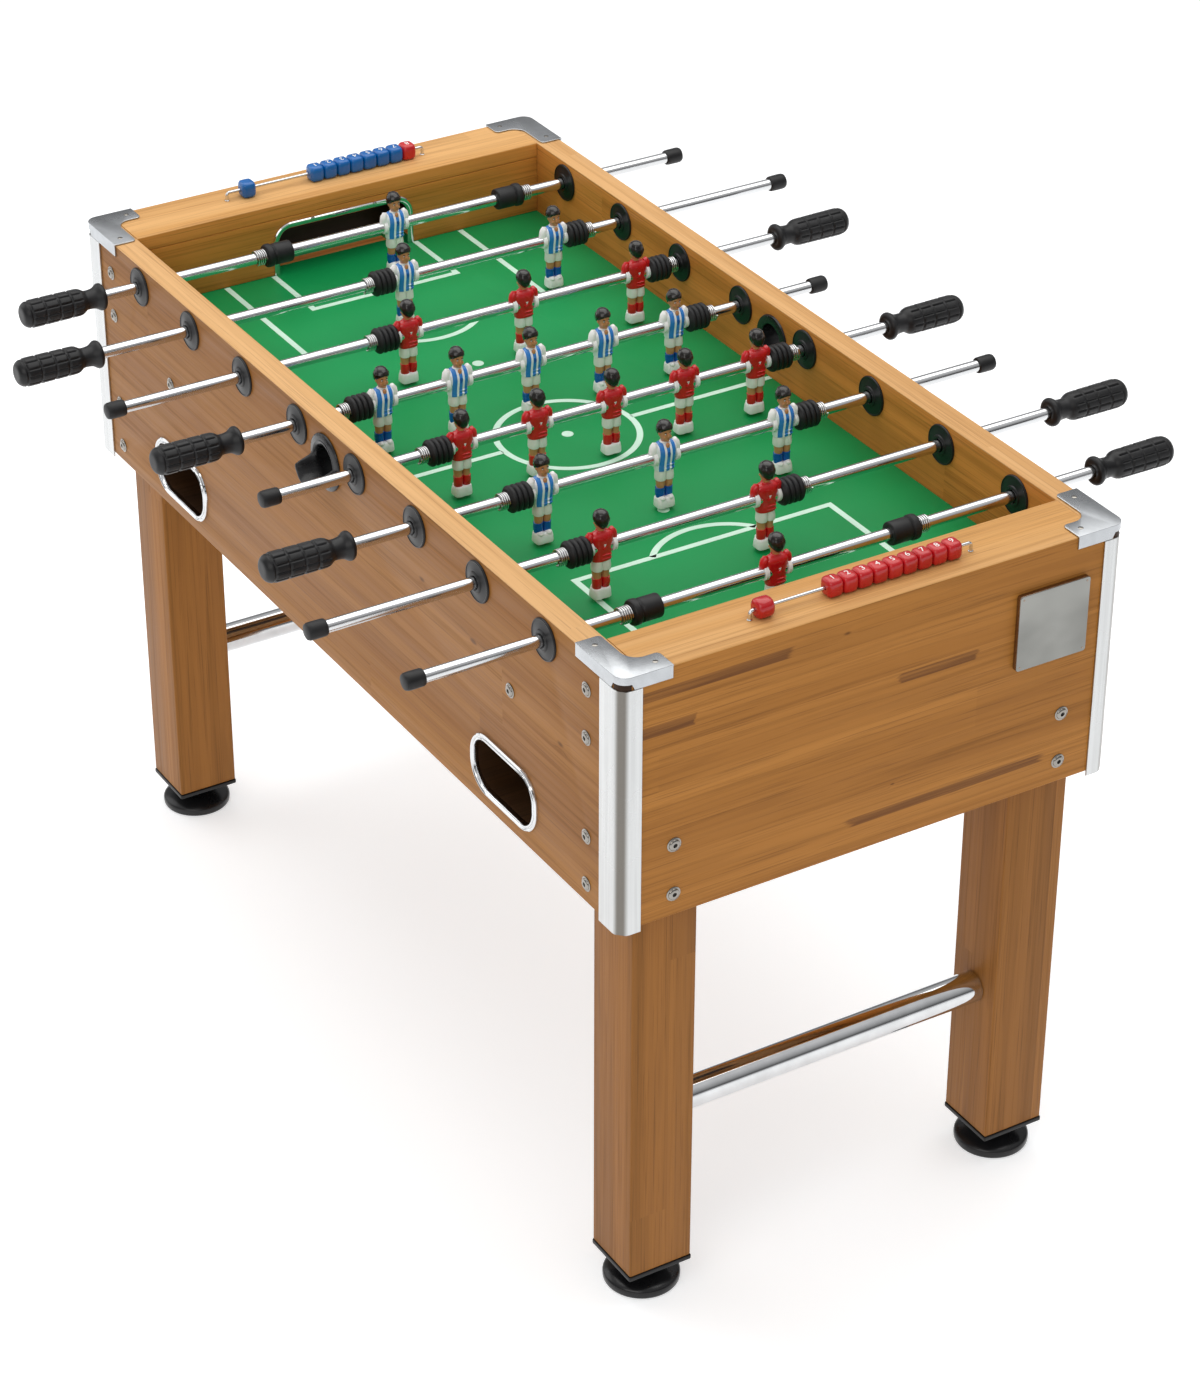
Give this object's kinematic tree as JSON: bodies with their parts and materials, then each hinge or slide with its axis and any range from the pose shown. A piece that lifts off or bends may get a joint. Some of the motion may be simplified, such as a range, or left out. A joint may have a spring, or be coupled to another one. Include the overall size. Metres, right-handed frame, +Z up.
{
  "type": "foosball table",
  "caption": "Free-standing table football game: wooden cabinet on square legs, sliding and spinning player rods with grips, goals, ball chutes, score beads and adjustable feet.",
  "frame": {"origin": "on the floor under the middle of the table", "axes": "+X along the table towards the red goalkeeper's end, +Y along the rods towards the wall without ball returns, +Z up"},
  "size_m": [1.448, 1.224, 0.9813],
  "materials": {
    "end_wood": "satin",
    "side_wood": "satin",
    "leg_wood": "satin",
    "field_green": "satin",
    "silver_trim": "satin",
    "chrome": "polished",
    "black_plastic": "satin",
    "black_rubber": "matte",
    "red_bead": "gloss",
    "blue_bead": "gloss"
  },
  "bodies": {
    "table": {"side_panel_left": "side_wood", "side_panel_right": "side_wood", "end_panel_front": "end_wood", "end_panel_rear": "end_wood", "playfield": "field_green", "goal_box_front": "end_wood", "goal_box_rear": "end_wood", "leg_front_left": "leg_wood", "leg_front_right": "leg_wood", "leg_rear_left": "leg_wood", "leg_rear_right": "leg_wood", "crossbar_front": "chrome", "crossbar_rear": "chrome", "corner_cap_front_left": "silver_trim", "corner_cap_front_right": "silver_trim", "corner_cap_rear_left": "silver_trim", "corner_cap_rear_right": "silver_trim", "corner_strip_front_left": "silver_trim", "corner_strip_front_right": "silver_trim", "corner_strip_rear_left": "silver_trim", "corner_strip_rear_right": "silver_trim", "ball_entry_left": "black_plastic", "ball_entry_right": "black_plastic", "ball_return_front": "chrome", "ball_return_rear": "chrome", "score_rail_front": "chrome", "score_rail_rear": "chrome", "badge_plate": "chrome"},
    "foot_front_left": {"leveler_front_left": "black_plastic"},
    "foot_front_right": {"leveler_front_right": "black_plastic"},
    "foot_rear_left": {"leveler_rear_left": "black_plastic"},
    "foot_rear_right": {"leveler_rear_right": "black_plastic"},
    "lead_bead_front_slider": {"lead_bead_front": "red_bead"},
    "bead_row_front_slider": {"bead_row_front": "red_bead"},
    "lead_bead_rear_slider": {"lead_bead_rear": "blue_bead"},
    "bead_row_rear_slider": {"bead_row_rear": "blue_bead"},
    "rod_1_travel": {"bumper_1": "black_rubber"},
    "rod_1": {"player_rod_1": "chrome", "handle_1": "black_rubber"},
    "rod_2_travel": {"bumper_2": "black_rubber"},
    "rod_2": {"player_rod_2": "chrome", "handle_2": "black_rubber"},
    "rod_3_travel": {"bumper_3": "black_rubber"},
    "rod_3": {"player_rod_3": "chrome", "handle_3": "black_rubber"},
    "rod_4_travel": {"bumper_4": "black_rubber"},
    "rod_4": {"player_rod_4": "chrome", "handle_4": "black_rubber"},
    "rod_5_travel": {"bumper_5": "black_rubber"},
    "rod_5": {"player_rod_5": "chrome", "handle_5": "black_rubber"},
    "rod_6_travel": {"bumper_6": "black_rubber"},
    "rod_6": {"player_rod_6": "chrome", "handle_6": "black_rubber"},
    "rod_7_travel": {"bumper_7": "black_rubber"},
    "rod_7": {"player_rod_7": "chrome", "handle_7": "black_rubber"},
    "rod_8_travel": {"bumper_8": "black_rubber"},
    "rod_8": {"player_rod_8": "chrome", "handle_8": "black_rubber"}
  },
  "joints": [
    {"name": "foot_front_left_height", "type": "slide", "parent": "table", "child": "foot_front_left", "axis": [0, 0, 1], "range_m": [-0.012, 0.004]},
    {"name": "foot_front_right_height", "type": "slide", "parent": "table", "child": "foot_front_right", "axis": [0, 0, 1], "range_m": [-0.012, 0.004]},
    {"name": "foot_rear_left_height", "type": "slide", "parent": "table", "child": "foot_rear_left", "axis": [0, 0, 1], "range_m": [-0.012, 0.004]},
    {"name": "foot_rear_right_height", "type": "slide", "parent": "table", "child": "foot_rear_right", "axis": [0, 0, 1], "range_m": [-0.012, 0.004]},
    {"name": "lead_bead_front_slide", "type": "slide", "parent": "table", "child": "lead_bead_front_slider", "axis": [0, 1, 0], "range_m": [-0.001, 0.036]},
    {"name": "bead_row_front_slide", "type": "slide", "parent": "table", "child": "bead_row_front_slider", "axis": [0, 1, 0], "range_m": [-0.037, 0.014]},
    {"name": "lead_bead_rear_slide", "type": "slide", "parent": "table", "child": "lead_bead_rear_slider", "axis": [0, 1, 0], "range_m": [-0.016, 0.043]},
    {"name": "bead_row_rear_slide", "type": "slide", "parent": "table", "child": "bead_row_rear_slider", "axis": [0, 1, 0], "range_m": [-0.043, 0.009]},
    {"name": "rod_1_slide", "type": "slide", "parent": "table", "child": "rod_1_travel", "axis": [0, 1, 0], "range_m": [-0.13, 0.048]},
    {"name": "rod_1_spin", "type": "hinge", "parent": "rod_1_travel", "child": "rod_1", "pos_m": [-0.5495, 0, 0.926], "axis": [0, 1, 0], "continuous": true},
    {"name": "rod_2_slide", "type": "slide", "parent": "table", "child": "rod_2_travel", "axis": [0, 1, 0], "range_m": [-0.21, 0.041]},
    {"name": "rod_2_spin", "type": "hinge", "parent": "rod_2_travel", "child": "rod_2", "pos_m": [-0.3925, 0, 0.926], "axis": [0, 1, 0], "continuous": true},
    {"name": "rod_3_slide", "type": "slide", "parent": "table", "child": "rod_3_travel", "axis": [0, 1, 0], "range_m": [-0.113, 0.002]},
    {"name": "rod_3_spin", "type": "hinge", "parent": "rod_3_travel", "child": "rod_3", "pos_m": [-0.2355, 0, 0.926], "axis": [0, 1, 0], "continuous": true},
    {"name": "rod_4_slide", "type": "slide", "parent": "table", "child": "rod_4_travel", "axis": [0, 1, 0], "range_m": [-0.017, 0.037]},
    {"name": "rod_4_spin", "type": "hinge", "parent": "rod_4_travel", "child": "rod_4", "pos_m": [-0.0785, 0, 0.926], "axis": [0, 1, 0], "continuous": true},
    {"name": "rod_5_slide", "type": "slide", "parent": "table", "child": "rod_5_travel", "axis": [0, 1, 0], "range_m": [-0.047, 0.008]},
    {"name": "rod_5_spin", "type": "hinge", "parent": "rod_5_travel", "child": "rod_5", "pos_m": [0.0785, 0, 0.926], "axis": [0, 1, 0], "continuous": true},
    {"name": "rod_6_slide", "type": "slide", "parent": "table", "child": "rod_6_travel", "axis": [0, 1, 0], "range_m": [-0.074, 0.068]},
    {"name": "rod_6_spin", "type": "hinge", "parent": "rod_6_travel", "child": "rod_6", "pos_m": [0.2355, 0, 0.926], "axis": [0, 1, 0], "continuous": true},
    {"name": "rod_7_slide", "type": "slide", "parent": "table", "child": "rod_7_travel", "axis": [0, 1, 0], "range_m": [-0.065, 0.197]},
    {"name": "rod_7_spin", "type": "hinge", "parent": "rod_7_travel", "child": "rod_7", "pos_m": [0.3925, 0, 0.926], "axis": [0, 1, 0], "continuous": true},
    {"name": "rod_8_slide", "type": "slide", "parent": "table", "child": "rod_8_travel", "axis": [0, 1, 0], "range_m": [-0.057, 0.127]},
    {"name": "rod_8_spin", "type": "hinge", "parent": "rod_8_travel", "child": "rod_8", "pos_m": [0.5495, 0, 0.926], "axis": [0, 1, 0], "continuous": true}
  ]
}
